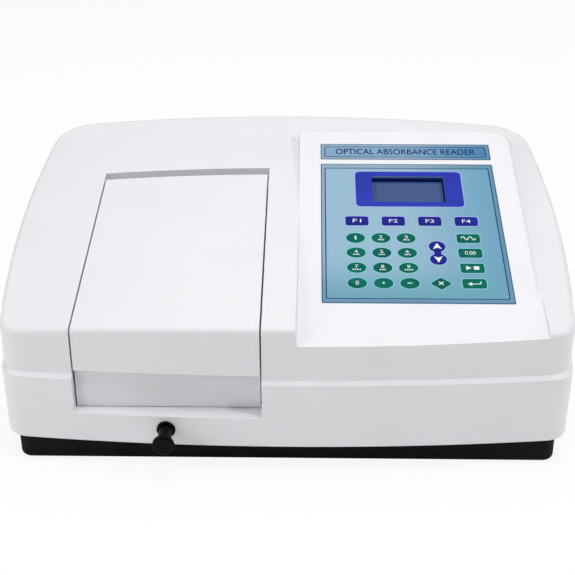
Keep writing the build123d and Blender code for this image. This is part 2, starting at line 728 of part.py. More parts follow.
def fan_guard():
    """Wire guard over the fan opening."""
    y = panel_y + 1
    parts = Part() + rod(5, (fan_x, y - 1, fan_z), (fan_x, y + 1, fan_z))
    for radius in (12, 19, 26):
        parts += Plane(origin=(fan_x, y, fan_z), z_dir=(0, 1, 0)) * Torus(radius, 0.8)
    for i in range(4):
        angle = math.radians(45 + 90 * i)
        tip = (fan_x + 30 * math.cos(angle), y, fan_z + 30 * math.sin(angle))
        parts += rod(0.8, (fan_x, y, fan_z), tip)
    return parts


def rear_panel():
    """Grey steel panel behind the window in the cover's rear wall, with the fan's wire guard."""
    plate = block(-panel_x, panel_x, panel_y - 1.5, panel_y, *panel_z)
    plate -= block(inlet_x - 14, inlet_x + 14, 160, 190, inlet_z - 13, inlet_z + 13)
    plate -= block(switch_x - 10, switch_x + 10, 160, 190, inlet_z - 13, inlet_z + 13)
    plate -= rod(fan_opening, (fan_x, 160, fan_z), (fan_x, 190, fan_z))
    for x, half in ((serial_x, serial_half + 1), (printer_x, printer_half + 1)):
        plate -= block(x - half, x + half, 160, 190, inlet_z - 5, inlet_z + 5)
    return group([plate, fan_guard()])


def mains_inlet():
    """Three-pole appliance inlet with its earth and live pins, and a hole for the fuse drawer."""
    z = inlet_z
    body = block(inlet_x - 14, inlet_x + 14, panel_y - 24, panel_y, z - 13, z + 13)
    body += block(inlet_x - 17, inlet_x + 17, panel_y, panel_y + 2, z - 16, z + 16)
    body -= block(inlet_x - 12, inlet_x + 12, panel_y - 16, panel_y + 3, z - 3, z + 12)
    body -= block(inlet_x - 10, inlet_x + 10, panel_y - 16, panel_y + 3, z - 11.5, z - 5)
    for x, up in ((inlet_x - 7, 4.5), (inlet_x, 7.5), (inlet_x + 7, 4.5)):
        body += block(x - 1, x + 1, panel_y - 16, panel_y - 1, z + up - 2, z + up + 2)
    return body


def fuse_drawer():
    """Pull-out drawer with the fuse, under the inlet's socket."""
    body = block(
        inlet_x - 9.7, inlet_x + 9.7, panel_y - 15, panel_y + 2.5, inlet_z - 11.2, inlet_z - 5.3
    )
    return body - block(inlet_x - 3, inlet_x + 3, panel_y + 1.5, panel_y + 3, inlet_z - 9.5, inlet_z - 7)


rocker_y, rocker_pin = panel_y - 2.0, 1.5


def switch_frame():
    """Frame of the power switch, snapped into the rear panel."""
    body = block(switch_x - 10, switch_x + 10, panel_y - 18, panel_y, inlet_z - 13, inlet_z + 13)
    body += block(switch_x - 12, switch_x + 12, panel_y, panel_y + 1.5, inlet_z - 15, inlet_z + 15)
    body -= block(switch_x - 7, switch_x + 7, panel_y - 12, panel_y + 2, inlet_z - 11.5, inlet_z + 11.5)
    pin = (switch_x - 9, rocker_y, inlet_z), (switch_x + 9, rocker_y, inlet_z)
    return body - rod(rocker_pin + running, *pin)


def power_rocker():
    """Rocker that tips about a cross axis; both ends slope back from the middle."""
    profile = Polyline(
        (panel_y + 2.9, 10.0), (panel_y + 0.9, 0), (panel_y + 0.7, -10.0),
        (panel_y - 4.5, -8.5), (panel_y - 6.5, 0), (panel_y - 4.5, 8.5), close=True,
    )
    rocker = Pos(switch_x - 6.7, 0, inlet_z) * extrude(Plane.YZ * make_face(profile), 13.4)
    pin = (switch_x - 8.5, rocker_y, inlet_z), (switch_x + 8.5, rocker_y, inlet_z)
    return rocker + rod(rocker_pin, *pin)


def d_socket(x, half):
    """Computer port: flanged shell with a shallow socket."""
    body = block(x - half, x + half, panel_y - 9, panel_y, inlet_z - 5, inlet_z + 5)
    body += block(x - half - 5, x + half + 5, panel_y, panel_y + 0.8, inlet_z - 6.2, inlet_z + 6.2)
    collar = block(x - half + 0.5, x + half - 0.5, panel_y, rear_y, inlet_z - 4.5, inlet_z + 4.5)
    body += fillet(collar.edges().filter_by(Axis.Y), 2)
    socket = half - 1.5
    return body - block(x - socket, x + socket, panel_y - 5, panel_y + 7, inlet_z - 3.5, inlet_z + 3.5)


def fan_frame():
    """Square cooling fan frame behind the rear panel."""
    half = fan_size / 2
    near, far = panel_y - 1.5 - fan_depth, panel_y - 1.5
    frame = block(fan_x - half, fan_x + half, near, far, fan_z - half, fan_z + half)
    frame = fillet(frame.edges().filter_by(Axis.Y), 3)
    frame -= rod(fan_opening, (fan_x, near - 1, fan_z), (fan_x, far + 1, fan_z))
    hub = rod(11, (fan_x, near, fan_z), (fan_x, near + 2, fan_z))
    for i in range(4):
        angle = math.radians(45 + 90 * i)
        tip = (fan_x + 28.5 * math.cos(angle), near + 1, fan_z + 28.5 * math.sin(angle))
        hub += rod(1, (fan_x, near + 1, fan_z), tip)
    return frame + hub + rod(fan_pin, (fan_x, near, fan_z), (fan_x, near + 8, fan_z))


def fan_rotor():
    """Seven-blade impeller on the fan's pin."""
    near = panel_y - 1.5 - fan_depth
    rotor = rod(12, (fan_x, near + 2.6, fan_z), (fan_x, near + 12, fan_z))
    for i in range(7):
        blade = Pos(19, 0, 0) * Rot(35, 0, 0) * Box(15, 1.2, 11)
        rotor += Pos(fan_x, near + 7.4, fan_z) * Rot(0, 360 / 7 * i, 0) * (Rot(90, 0, 0) * blade)
    return rotor - rod(fan_pin + running, (fan_x, near, fan_z), (fan_x, near + 8.5, fan_z))


# ---- Electronics ----

def circuit_boards():
    """Power supply board with its transformer, and the main board on posts over the optics box."""
    power = block(-192, -146, 66, 145, 12, 14)
    power += block(-190, -160, 72, 112, 14, 48) + block(-156, -149, 76, 136, 14, 42)
    for x in (-184, -168):
        power += rod(6, (x, 130, 14), (x, 130, 36))
    for x in (-189, -149):
        for y in (69, 142):
            power += rod(2.5, (x, y, foot_height + base_floor), (x, y, 12))
    low = mono_z[1] + 3
    main = block(100, 190, -30, 110, low + 6, low + 7.6)
    main += block(110, 135, 20, 45, low + 7.6, low + 10) + block(150, 180, -10, 4, low + 7.6, low + 12)
    main += block(110, 126, 70, 100, low + 7.6, low + 11.5)
    for x in (104, 145):
        for y in (-25, 105):
            main += rod(3, (x, y, low), (x, y, low + 6))
    return group([power, main])


for make in (
    monochromator_case, optics, grating_mount, scan_pinion, drive_motors, detector, lamp_housing, lamps,
    source_mirror, filter_wheel, rear_panel, mains_inlet, fuse_drawer, switch_frame, power_rocker,
    fan_frame, fan_rotor, circuit_boards,
):
    write(make.__name__, make())
write("data_ports", group([d_socket(serial_x, serial_half), d_socket(printer_x, printer_half)]))
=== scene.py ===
import json
import math

import bmesh
import bpy
from mathutils import Matrix, Vector
from mathutils.bvhtree import BVHTree


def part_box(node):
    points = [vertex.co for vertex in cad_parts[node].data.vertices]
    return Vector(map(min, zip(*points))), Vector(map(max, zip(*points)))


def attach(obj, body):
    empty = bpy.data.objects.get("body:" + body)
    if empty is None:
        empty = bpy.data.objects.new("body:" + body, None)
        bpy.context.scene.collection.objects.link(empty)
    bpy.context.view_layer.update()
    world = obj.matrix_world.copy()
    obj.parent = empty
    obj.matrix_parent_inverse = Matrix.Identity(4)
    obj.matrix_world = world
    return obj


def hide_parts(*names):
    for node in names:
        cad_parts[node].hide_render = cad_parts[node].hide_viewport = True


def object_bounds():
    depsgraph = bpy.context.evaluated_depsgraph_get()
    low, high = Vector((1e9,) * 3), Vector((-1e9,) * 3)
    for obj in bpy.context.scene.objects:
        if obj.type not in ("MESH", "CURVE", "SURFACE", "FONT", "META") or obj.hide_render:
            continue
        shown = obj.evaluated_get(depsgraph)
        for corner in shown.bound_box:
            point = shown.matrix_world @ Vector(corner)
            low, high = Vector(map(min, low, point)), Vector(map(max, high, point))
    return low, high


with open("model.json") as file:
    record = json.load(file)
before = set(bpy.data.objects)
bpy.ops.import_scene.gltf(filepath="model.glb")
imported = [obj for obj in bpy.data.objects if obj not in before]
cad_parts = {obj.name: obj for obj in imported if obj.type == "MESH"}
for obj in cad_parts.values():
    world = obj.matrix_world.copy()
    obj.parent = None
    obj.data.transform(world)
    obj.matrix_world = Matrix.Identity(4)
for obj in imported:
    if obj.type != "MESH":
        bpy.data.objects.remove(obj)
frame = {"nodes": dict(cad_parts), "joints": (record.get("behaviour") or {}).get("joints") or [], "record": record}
cad_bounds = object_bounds()
nodes, record = frame["nodes"], frame["record"]
joints = {joint["name"]: joint for joint in frame["joints"]}
scene = bpy.context.scene
MM = 0.001


# ---- Camera, light and floor ----

CAMERA_PLACE = (0.01588, -0.96426, 0.60945)
CAMERA_DOWN, CAMERA_YAW, CAMERA_ROLL = 28.608, -1.02, -0.106    # degrees
CAMERA_LENS = 78.33                                             # mm, on a 36 mm sensor
LIGHTS = {      # degrees round from the front, degrees above the horizon, distance, size, power
    "rear_high": (180, 60, 2.0, (1.6, 0.8), 13.6),
    "overhead": (20, 76, 2.0, (0.9, 0.7), 13.6),
    "front_left": (-45, 30, 2.2, (0.5, 0.5), 6.0),
    "front_right": (60, 45, 2.0, (0.25, 0.25), 10.8),
    "left_high": (-90, 50, 2.0, (1.2, 1.2), 7.0),
    "left_low": (-58, 15, 2.2, (1.2, 0.8), 10.2),
    "right_low": (90, 20, 2.2, (1.0, 0.8), 9.0),
}
WORLD_LIGHT = 0.01      # even light from all round
HAZE = 0.9              # brightness of the seen surroundings, and the white share of the seen floor
FLOOR_HALF = 12.0


def make_camera():
    """Camera that looks down on the instrument from the front."""
    down, yaw, roll = (math.radians(a) for a in (CAMERA_DOWN, CAMERA_YAW, CAMERA_ROLL))
    ahead = Vector((math.sin(yaw) * math.cos(down), math.cos(yaw) * math.cos(down), -math.sin(down)))
    level = Vector((math.cos(yaw), -math.sin(yaw), 0))
    up = level.cross(ahead)
    right = level * math.cos(roll) + up * math.sin(roll)
    up = right.cross(ahead)
    facing = Matrix((right, up, -ahead)).transposed().to_4x4()
    camera = bpy.data.objects.new("camera", bpy.data.cameras.new("camera"))
    camera.data.lens = CAMERA_LENS
    camera.matrix_world = Matrix.Translation(CAMERA_PLACE) @ facing
    scene.collection.objects.link(camera)
    scene.camera = camera
    scene.view_settings.view_transform = "Standard"


def area_light(name, place, target, size, power):
    """Rectangular softbox aimed at a point."""
    light = bpy.data.lights.new(name, "AREA")
    light.shape, light.size, light.size_y = "RECTANGLE", size[0], size[1]
    light.energy = power
    lamp = bpy.data.objects.new(name, light)
    lamp.location = place
    lamp.rotation_euler = (Vector(target) - Vector(place)).to_track_quat("-Z", "Y").to_euler()
    scene.collection.objects.link(lamp)


def make_lights():
    """Softboxes round the instrument, all aimed at its middle."""
    middle = (cad_bounds[0] + cad_bounds[1]) / 2
    for name, (turn, height, distance, size, power) in LIGHTS.items():
        turn, height = math.radians(turn), math.radians(height)
        outward = Vector((
            math.sin(turn) * math.cos(height), -math.cos(turn) * math.cos(height), math.sin(height)
        ))
        area_light(name, middle + outward * distance, middle, size, power)


def mix_shaders(tree, share, first, second, output):
    """Sends a mix of two shader nodes to an output node."""
    mix = tree.nodes.new("ShaderNodeMixShader")
    tree.links.new(share, mix.inputs["Fac"])
    tree.links.new(first.outputs[0], mix.inputs[1])
    tree.links.new(second.outputs[0], mix.inputs[2])
    tree.links.new(mix.outputs[0], tree.nodes[output].inputs["Surface"])


def make_world():
    """Surroundings that are seen as white but give little light."""
    world = bpy.data.worlds.new("studio")
    world.use_nodes = True
    scene.world = world
    tree = world.node_tree
    faint, white = tree.nodes["Background"], tree.nodes.new("ShaderNodeBackground")
    for background, strength in ((faint, WORLD_LIGHT), (white, HAZE)):
        background.inputs["Color"].default_value = (1, 1, 1, 1)
        background.inputs["Strength"].default_value = strength
    path = tree.nodes.new("ShaderNodeLightPath")
    mix_shaders(tree, path.outputs["Is Camera Ray"], faint, white, "World Output")


def make_floor():
    """Pale floor under the instrument."""
    half = FLOOR_HALF
    corners = [(-half, -half, 0), (half, -half, 0), (half, half, 0), (-half, half, 0)]
    mesh = bpy.data.meshes.new("floor")
    mesh.from_pydata(corners, [], [(0, 1, 2, 3)])
    floor = bpy.data.objects.new("floor", mesh)
    scene.collection.objects.link(floor)
    mesh.materials.append(floor_paper())


def floor_paper():
    """Matt white paper, lifted towards white where it is seen directly, so that its shadows stay light."""
    material = surface(
        "floor_paper", (0.96, 0.96, 0.96), 0.95, grain=(0.0006, 0.00001), Specular_IOR_Level=0.0
    )
    tree = material.node_tree
    glow = tree.nodes.new("ShaderNodeEmission")
    glow.inputs["Strength"].default_value = 1.0
    path = tree.nodes.new("ShaderNodeLightPath")
    share = tree.nodes.new("ShaderNodeMath")
    share.operation = "MULTIPLY"
    share.inputs[1].default_value = HAZE
    tree.links.new(path.outputs["Is Camera Ray"], share.inputs[0])
    mix_shaders(tree, share.outputs[0], tree.nodes["Principled BSDF"], glow, "Material Output")
    return material


# ---- Materials ----

GRAIN_DETAIL, TONE_DETAIL, WEAR_DETAIL = 2.0, 3.0, 5.0      # octaves of each noise
WEAR_SIZE = 0.02
TONE_LIMITS = (0.3, 0.7)        # noise values that give the darkest and the lightest tone
SHEEN_SIDE_START = 0.4           # share of the overlay's width where the painted sheen starts to darken the colour towards the right
NEAR_SHADE_SHARE = 0.32          # share of its depth over which painted shade darkens it towards the near edge


def srgb(r, g, b):
    """Linear colour of a screen colour given from 0 to 255."""
    return tuple(c / 255 / 12.92 if c < 10.3 else ((c / 255 + 0.055) / 1.055) ** 2.4 for c in (r, g, b))


def add_noise(tree, place, size, detail):
    """Noise with features of a given size; returns its value socket."""
    noise = tree.nodes.new("ShaderNodeTexNoise")
    noise.inputs["Scale"].default_value = 1 / size
    noise.inputs["Detail"].default_value = detail
    tree.links.new(place, noise.inputs["Vector"])
    return noise.outputs["Fac"]


def surface(name, colour, roughness, metallic=0.0, grain=None, tone=None, wear=0.0, **sockets):
    """Principled material. grain is (size, depth) of a fine bump, tone is (size, share) of a slow colour
    variation, wear is how much the roughness varies; sizes in metres."""
    material = bpy.data.materials.new(name)
    material.use_nodes = True
    tree = material.node_tree
    shader = tree.nodes["Principled BSDF"]
    shader.inputs["Base Color"].default_value = (*colour, 1)
    shader.inputs["Roughness"].default_value = roughness
    shader.inputs["Metallic"].default_value = metallic
    for socket, value in sockets.items():
        shader.inputs[socket.replace("_", " ")].default_value = value
    place = tree.nodes.new("ShaderNodeTexCoord").outputs["Object"]
    if tone:
        size, share = tone
        ramp = tree.nodes.new("ShaderNodeValToRGB")
        for stop, position, scale in zip(ramp.color_ramp.elements, TONE_LIMITS, (1 - share, 1 + share)):
            stop.position = position
            stop.color = (*(min(1.0, c * scale) for c in colour), 1)
        tree.links.new(add_noise(tree, place, size, TONE_DETAIL), ramp.inputs["Fac"])
        tree.links.new(ramp.outputs["Color"], shader.inputs["Base Color"])
    if wear:
        spread = tree.nodes.new("ShaderNodeMapRange")
        spread.inputs["To Min"].default_value = roughness - wear
        spread.inputs["To Max"].default_value = roughness + wear
        tree.links.new(add_noise(tree, place, WEAR_SIZE, WEAR_DETAIL), spread.inputs["Value"])
        tree.links.new(spread.outputs[0], shader.inputs["Roughness"])
    if grain:
        size, depth = grain
        bump = tree.nodes.new("ShaderNodeBump")
        bump.inputs["Distance"].default_value = depth
        tree.links.new(add_noise(tree, place, size, GRAIN_DETAIL), bump.inputs["Height"])
        tree.links.new(bump.outputs["Normal"], shader.inputs["Normal"])
    return material


def ramp_between(tree, value, start, end):
    """Smooth 0 to 1 as a coordinate goes from start to end."""
    spread = tree.nodes.new("ShaderNodeMapRange")
    spread.interpolation_type = "SMOOTHSTEP"
    spread.inputs["From Min"].default_value = start
    spread.inputs["From Max"].default_value = end
    tree.links.new(value, spread.inputs["Value"])
    return spread.outputs[0]


def mix_colours(tree, share, first, second):
    """Mix node between two colours, each a colour or a socket."""
    mix = tree.nodes.new("ShaderNodeMix")
    mix.data_type = "RGBA"
    tree.links.new(share, mix.inputs["Factor"])
    for value, socket in ((first, mix.inputs[6]), (second, mix.inputs[7])):
        if isinstance(value, tuple):
            socket.default_value = (*value, 1)
        else:
            tree.links.new(value, socket)
    return mix.outputs[2]


def film_with_painted_sheen(name, left, right, near):
    """Printed film whose colour runs from left to right and darkens at the near edge: a painted sheen and painted
    shade laid over its own colour.
    """
    material = surface(name, left, SATIN, **FILM)
    tree = material.node_tree
    split = tree.nodes.new("ShaderNodeSeparateXYZ")
    tree.links.new(tree.nodes.new("ShaderNodeTexCoord").outputs["Object"], split.inputs[0])
    low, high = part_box("membrane_overlay")
    size = high - low
    # painted sheen across the film, and painted shade towards its near edge
    painted_sheen = ramp_between(tree, split.outputs["X"], low.x + SHEEN_SIDE_START * size.x, high.x)
    painted_near_shade = ramp_between(tree, split.outputs["Y"], low.y + NEAR_SHADE_SHARE * size.y, low.y)
    mixed = mix_colours(tree, painted_near_shade, mix_colours(tree, painted_sheen, left, right), near)
    tree.links.new(mixed, tree.nodes["Principled BSDF"].inputs["Base Color"])
    return material


MOULDED = {"grain": (0.0007, 0.00002), "tone": (0.05, 0.012), "wear": 0.04}
FILM = {"grain": (0.0005, 0.00001), "wear": 0.05, "Specular_IOR_Level": 0.04}
PRINT = {"wear": 0.05, "Specular_IOR_Level": 0.03}
SATIN, DRY_INK = 0.42, 0.45     # roughness
SURFACES = {    # colour, roughness, metallic share, and the other values of surface()
    "cover_white": ((0.79, 0.785, 0.815), SATIN, 0.0, MOULDED),
    "base_black": (
        srgb(15, 15, 18), 0.6, 0.0, {"grain": (0.0009, 0.00006), "wear": 0.06, "Specular_IOR_Level": 0.1}
    ),
    "foot_rubber": (srgb(28, 28, 28), 0.8, 0.0, {"grain": (0.0006, 0.00002)}),
    "key_green": (srgb(0, 96, 84), DRY_INK, 0.0, {"tone": (0.03, 0.25), **FILM}),
    "key_blue": (srgb(28, 32, 132), DRY_INK, 0.0, {"tone": (0.03, 0.2), **FILM}),
    "display_glass": (srgb(46, 72, 124), 0.2, 0.0, {"tone": (0.05, 0.05), "Specular_IOR_Level": 0.1}),
    "knob_black": (
        srgb(6, 6, 8), 0.4, 0.0, {"grain": (0.0006, 0.00001), "wear": 0.08, "Specular_IOR_Level": 0.08}
    ),
    "polished_steel": ((0.62, 0.62, 0.64), 0.22, 1.0, {"wear": 0.06}),
    "chamber_black": (srgb(26, 26, 28), 0.6, 0.0, {"grain": (0.0008, 0.00004), "wear": 0.08}),
    "anodised_black": (srgb(32, 32, 35), 0.42, 0.8, {"grain": (0.0004, 0.00001)}),
    "foam_black": (srgb(24, 24, 26), 0.95, 0.0, {"grain": (0.0012, 0.0004), "tone": (0.004, 0.3)}),
    "optical_glass": ((0.92, 0.95, 0.96), 0.03, 0.0, {"Transmission_Weight": 0.9}),
    "cast_aluminium": ((0.55, 0.56, 0.58), 0.5, 0.9, {"grain": (0.0008, 0.00008)}),
    "brass": ((0.72, 0.55, 0.25), 0.3, 1.0, {"wear": 0.08}),
    "zinc_sheet": ((0.6, 0.61, 0.63), 0.35, 0.95, {"tone": (0.008, 0.12), "wear": 0.1}),
    "panel_grey": (srgb(196, 198, 200), 0.5, 0.0, {"grain": (0.0006, 0.00003), "wear": 0.05}),
    "socket_black": (srgb(24, 24, 26), 0.4, 0.0, {"grain": (0.0006, 0.00002), "wear": 0.06}),
    "board_green": (srgb(20, 92, 52), 0.35, 0.0, {"tone": (0.01, 0.15)}),
    "ink_white": (srgb(226, 236, 234), DRY_INK, 0.0, PRINT),
    "ink_line": (srgb(14, 60, 104), DRY_INK, 0.0, PRINT),
    "ink_navy": (srgb(8, 20, 84), DRY_INK, 0.0, PRINT),
    "ink_bezel": (srgb(44, 58, 168), DRY_INK, 0.0, {"tone": (0.03, 0.12), **PRINT}),
    "ink_blue": (srgb(28, 34, 136), DRY_INK, 0.0, PRINT),
    "ink_lilac": (srgb(160, 180, 234), DRY_INK, 0.0, PRINT),
    "ink_mint": (srgb(124, 208, 204), DRY_INK, 0.0, PRINT),
    "gasket_navy": (srgb(10, 22, 84), 0.6, 0.0, PRINT),
    "nickel": ((0.66, 0.64, 0.60), 0.3, 1.0, {"wear": 0.1}),
    "screw_steel": ((0.5, 0.5, 0.52), 0.34, 1.0, {"tone": (0.002, 0.2), "wear": 0.1}),
}
SHEEN_PAINTED_FILMS = {   # colour at the left, at the right and at the near edge; the changes between them are painted sheen and painted shade
    "overlay_blue": (srgb(145, 179, 200), srgb(108, 157, 184), srgb(106, 158, 176)),
    "ink_border": (srgb(140, 166, 184), srgb(98, 138, 164), srgb(104, 143, 172)),
    "ink_title": (srgb(126, 160, 190), srgb(74, 126, 168), srgb(126, 160, 190)),
}
MATERIALS = {
    name: surface(name, colour, roughness, metallic, **others)
    for name, (colour, roughness, metallic, others) in SURFACES.items()
}
MATERIALS.update({name: film_with_painted_sheen(name, *colours) for name, colours in SHEEN_PAINTED_FILMS.items()})


def paint_cad():
    """Every CAD node gets the material of its slot."""
    for subpart in record["subparts"]:
        mesh = nodes[subpart["node"]].data
        mesh.materials.clear()
        mesh.materials.append(MATERIALS[subpart["material_slot"]])


# ---- Building pieces ----

def piece(name, made, material, body):
    """Turns a bmesh in the shared frame into an object that rides on a body."""
    mesh = bpy.data.meshes.new(name)
    bmesh.ops.recalc_face_normals(made, faces=made.faces)
    made.to_mesh(mesh)
    made.free()
    mesh.materials.append(MATERIALS[material])
    thing = bpy.data.objects.new(name, mesh)
    scene.collection.objects.link(thing)
    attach(thing, body)
    return thing


def rounded_box(x, s, radius, steps=6):
    """Outline of a rounded rectangle, anticlockwise."""
    points = []
    for cx, cs, first in ((x[1], s[1], 0), (x[0], s[1], 90), (x[0], s[0], 180), (x[1], s[0], 270)):
        cx += -radius if cx == x[1] else radius
        cs += -radius if cs == s[1] else radius
        for i in range(steps + 1):
            angle = math.radians(first + 90 * i / steps)
            points.append((cx + radius * math.cos(angle), cs + radius * math.sin(angle)))
    return points


def shrink(x, s, by, radius):
    """Rounded rectangle set in from a range by left, right, near and far margins."""
    left, right, near, far = by
    return rounded_box((x[0] + left, x[1] - right), (s[0] + near, s[1] - far), radius)


def oval(x, s, a, b, steps=48):
    """Outline of an ellipse."""
    turns = [2 * math.pi * i / steps for i in range(steps)]
    return [(x + a * math.cos(t), s + b * math.sin(t)) for t in turns]


def stroke(points, width):
    """Outline of an open line drawn with a given width."""
    left, right = [], []
    for i, point in enumerate(points):
        before, after = points[max(i - 1, 0)], points[min(i + 1, len(points) - 1)]
        dx, dy = after[0] - before[0], after[1] - before[1]
        half = width / 2 / math.hypot(dx, dy)
        left.append((point[0] - dy * half, point[1] + dx * half))
        right.append((point[0] + dy * half, point[1] - dx * half))
    return left + right[::-1]


def skin(made, rings):
    """Faces from each ring of points to the next; a ring may repeat one single point."""
    count = len(rings[0])
    for first, second in zip(rings, rings[1:]):
        for i in range(count):
            j = (i + 1) % count
            made.faces.new(list(dict.fromkeys((first[i], first[j], second[j], second[i]))))


def prism(made, place, outline, low, high):
    """Closed flat piece with one outline."""
    top = [made.verts.new(place(x, s, high)) for x, s in outline]
    bottom = [made.verts.new(place(x, s, low)) for x, s in outline]
    made.faces.new(top)
    made.faces.new(reversed(bottom))
    skin(made, [bottom, top])


def band(made, place, outside, inside, low, high):
    """Closed flat ring between two outlines with as many points."""
    rings = [[made.verts.new(place(x, s, h)) for x, s in line]
             for line, h in ((outside, high), (inside, high), (inside, low), (outside, low))]
    skin(made, rings + rings[:1])


def lathe(made, place, profile, sides):
    """Turned solid from (radius, height) points that begin and end on the axis."""
    turns = [2 * math.pi * i / sides for i in range(sides)]
    rings = []
    for radius, height in profile:
        if radius == 0:
            rings.append([made.verts.new(place(0, 0, height))] * sides)
        else:
            rings.append([
                made.verts.new(place(radius * math.cos(t), radius * math.sin(t), height)) for t in turns
            ])
    skin(made, rings)


def on_plane(origin, across, back):
    """Placing function for a flat face from two of its directions."""
    across, back = Vector(across).normalized(), Vector(back).normalized()
    out = across.cross(back)
    return lambda x, y, height: Vector(origin) + across * x + back * y + out * height


# ---- Keypad print ----

console_up = -Vector(joints["key_5_press"]["axis"]).normalized()
console_across = Vector((1, 0, 0))
console_back = console_up.cross(console_across)
INK_DEPTH = 0.03 * MM
UNDER_DEPTH, OVER_DEPTH = 0.8 * INK_DEPTH, 1.2 * INK_DEPTH     # prints that pass under and over others


def on_console(x, s, height):
    """Point from its distances along the console's three directions."""
    return console_across * x + console_back * s + console_up * height


def reach(node, direction):
    """Lowest and highest distance of a CAD node along a direction."""
    along = [v.co.dot(direction) for v in nodes[node].data.vertices]
    return min(along), max(along)


def console_box(node):
    """A node's x range, s range and top height on the console."""
    return reach(node, console_across), reach(node, console_back), reach(node, console_up)[1]


def middle_of(node):
    """Centre of a node on the console, and its top height."""
    x, s, top = console_box(node)
    return (x[0] + x[1]) / 2, (s[0] + s[1]) / 2, top


def console_band(name, outside, inside, low, high, material):
    """Ring piece on the console between two outlines."""
    ring = bmesh.new()
    band(ring, on_console, outside, inside, low, high)
    piece(name, ring, material, "chassis")


def frame_print(node, margins, line):
    """Grey-blue border, the dark line inside it and the dark line along its outer edge, on one label."""
    x, s, top = console_box(node)
    edge = shrink(x, s, [0.15 * MM] * 4, 1.3 * MM)
    outer_line_inside = shrink(x, s, [0.75 * MM] * 4, 1.2 * MM)
    inner = shrink(x, s, margins, 1.6 * MM)
    inside = shrink(x, s, [m + line for m in margins], 1.2 * MM)
    console_band(f"{node}_border", edge, inner, top, top + INK_DEPTH, "ink_border")
    console_band(f"{node}_line", inner, inside, top, top + OVER_DEPTH, "ink_line")
    console_band(f"{node}_outer_dark_line", edge, outer_line_inside, top, top + OVER_DEPTH, "ink_line")


def lettering(name, text, centre, height, size, material, body, place=on_console, bold=0.0):
    """Flat letters fitted to a width and height, lying on a surface."""
    curve = bpy.data.curves.new(name, "FONT")
    curve.body, curve.offset = text, bold
    source = bpy.data.objects.new(name, curve)
    scene.collection.objects.link(source)
    bpy.context.view_layer.update()
    made = bmesh.new()
    made.from_mesh(source.to_mesh())
    bpy.data.objects.remove(source)
    low = [min(v.co[i] for v in made.verts) for i in (0, 1)]
    high = [max(v.co[i] for v in made.verts) for i in (0, 1)]
    scale = [size[i] / (high[i] - low[i]) for i in (0, 1)]
    grown = bmesh.ops.extrude_face_region(made, geom=list(made.faces))
    lifted = {v for v in grown["geom"] if isinstance(v, bmesh.types.BMVert)}
    for v in made.verts:
        x, s = (centre[i] + (v.co[i] - (low[i] + high[i]) / 2) * scale[i] for i in (0, 1))
        v.co = place(x, s, height + (INK_DEPTH if v in lifted else 0.0))
    return piece(name, made, material, body)


TITLE_WORDS = "OPTICAL ABSORBANCE READER"
TITLE_SIZE, TITLE_BOLD = (126.2 * MM, 8.4 * MM), 0.006
TITLE_MARGINS = [m * MM for m in (3.3, 3.6, 3.4, 4.1)]      # left, right, near and far
OVERLAY_MARGINS = [m * MM for m in (3.3, 3.8, 4.8, 6.2)]


def title_print():
    """Border, line, ground and words of the strip above the keypad."""
    frame_print("title_label", TITLE_MARGINS, 0.8 * MM)
    x, s, top = console_box("title_label")
    ground = bmesh.new()
    outline = shrink(x, s, [m + 0.5 * MM for m in TITLE_MARGINS], 1.2 * MM)
    prism(ground, on_console, outline, top, top + UNDER_DEPTH)
    piece("title_ground", ground, "ink_title", "chassis")
    lettering(
        "title_words", TITLE_WORDS, middle_of("title_label")[:2], top + UNDER_DEPTH,
        TITLE_SIZE, "ink_navy", "chassis", bold=TITLE_BOLD,
    )


def display_print():
    """Blue surround of the display window with its pale edge, and the dark gasket down to the glass, whose wider
    rim at the right and far sides is painted shade on the glass.
    """
    x, s, top = console_box("membrane_overlay")
    window_x = (x[0] + 45.0 * MM, x[0] + 108.2 * MM)        # from the overlay's left and near edges
    window_s = (s[0] + 129.6 * MM, s[0] + 165.9 * MM)
    window = rounded_box(window_x, window_s, 0.6 * MM)
    surround_x = (window_x[0] - 14.7 * MM, window_x[1] + 15.5 * MM)
    surround_s = (window_s[0] - 6.6 * MM, window_s[1] + 7.2 * MM)
    surround = rounded_box(surround_x, surround_s, 4.2 * MM)
    halo = shrink(surround_x, surround_s, [-0.7 * MM] * 4, 4.9 * MM)
    console_band("display_surround", surround, window, top, top + INK_DEPTH, "ink_bezel")
    console_band("display_surround_edge", halo, surround, top, top + UNDER_DEPTH, "ink_lilac")
    # the gasket's inner edge is set in further at the right and far sides only: painted shade, a dark band on the
    # glass where the window's walls shade it
    opening_with_painted_shade = shrink(window_x, window_s, [0, 1.4 * MM, 0, 2.6 * MM], 0.6 * MM)
    outside = shrink(window_x, window_s, [-1.5 * MM] * 4, 1.0 * MM)
    glass_top, film_back = reach("display_module", console_up)[1], top - 1.25 * MM
    console_band("display_gasket_with_painted_shade", outside, opening_with_painted_shade, glass_top, film_back, "gasket_navy")


def display_film():
    """Polarising film on the display's glass, with the fine line round its active area."""
    x, s, top = console_box("display_module")
    half_x, half_s, thick, corner = 30.6 * MM, 17.2 * MM, 0.25 * MM, 0.4 * MM
    margin_x, margin_s = (x[1] - x[0]) / 2 - half_x, (s[1] - s[0]) / 2 - half_s
    film = bmesh.new()
    outline = shrink(x, s, [margin_x, margin_x, margin_s, margin_s], corner)
    prism(film, on_console, outline, top, top + thick)
    piece("display_film", film, "display_glass", "chassis")
    outer = [margin_x + 2.0 * MM, margin_x + 2.0 * MM, margin_s + 1.6 * MM, margin_s + 1.6 * MM]
    inner = [m + 0.35 * MM for m in outer]
    console_band(
        "display_active_line", shrink(x, s, outer, corner), shrink(x, s, inner, corner),
        top + thick, top + thick + INK_DEPTH, "gasket_navy",
    )


KEY_GAP, HALO_WIDTH = 0.25 * MM, 0.75 * MM      # from a key to its printed edge, and that edge's width


def keys_like(*starts):
    """Names of the key nodes that start with any of these."""
    return sorted(n for n in nodes if n.startswith(starts))


